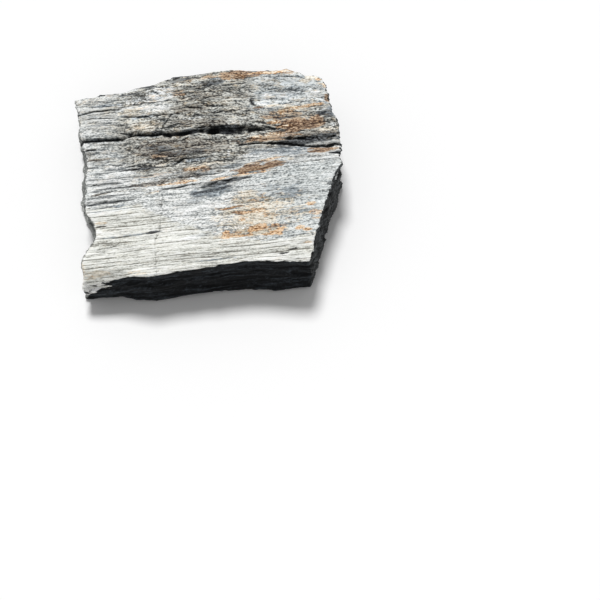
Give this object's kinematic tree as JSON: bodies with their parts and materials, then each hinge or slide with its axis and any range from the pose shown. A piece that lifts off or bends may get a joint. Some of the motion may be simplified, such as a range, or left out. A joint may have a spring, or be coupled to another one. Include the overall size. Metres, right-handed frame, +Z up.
{
  "type": "petrified wood chunk",
  "caption": "Split block of petrified wood with a weathered, grooved face on top, long grain cracks, broken ends and a hollowed underside that rests on four flat feet.",
  "frame": {"origin": "centre of the bounding box's bottom face, on the ground the chunk lies on", "axes": "+X along the wood's grain, +Z up, +Y from the thick straight front side to the curved back side"},
  "size_m": [0.1524, 0.1294, 0.0366],
  "materials": {
    "petrified_wood": "weathered, pale cream and grey grooved skin with brown and rust streaks on top; dark blue-grey broken stone on the sides, ends and underside"
  },
  "bodies": {
    "root": {"petrified_wood": "petrified_wood"}
  },
  "joints": []
}
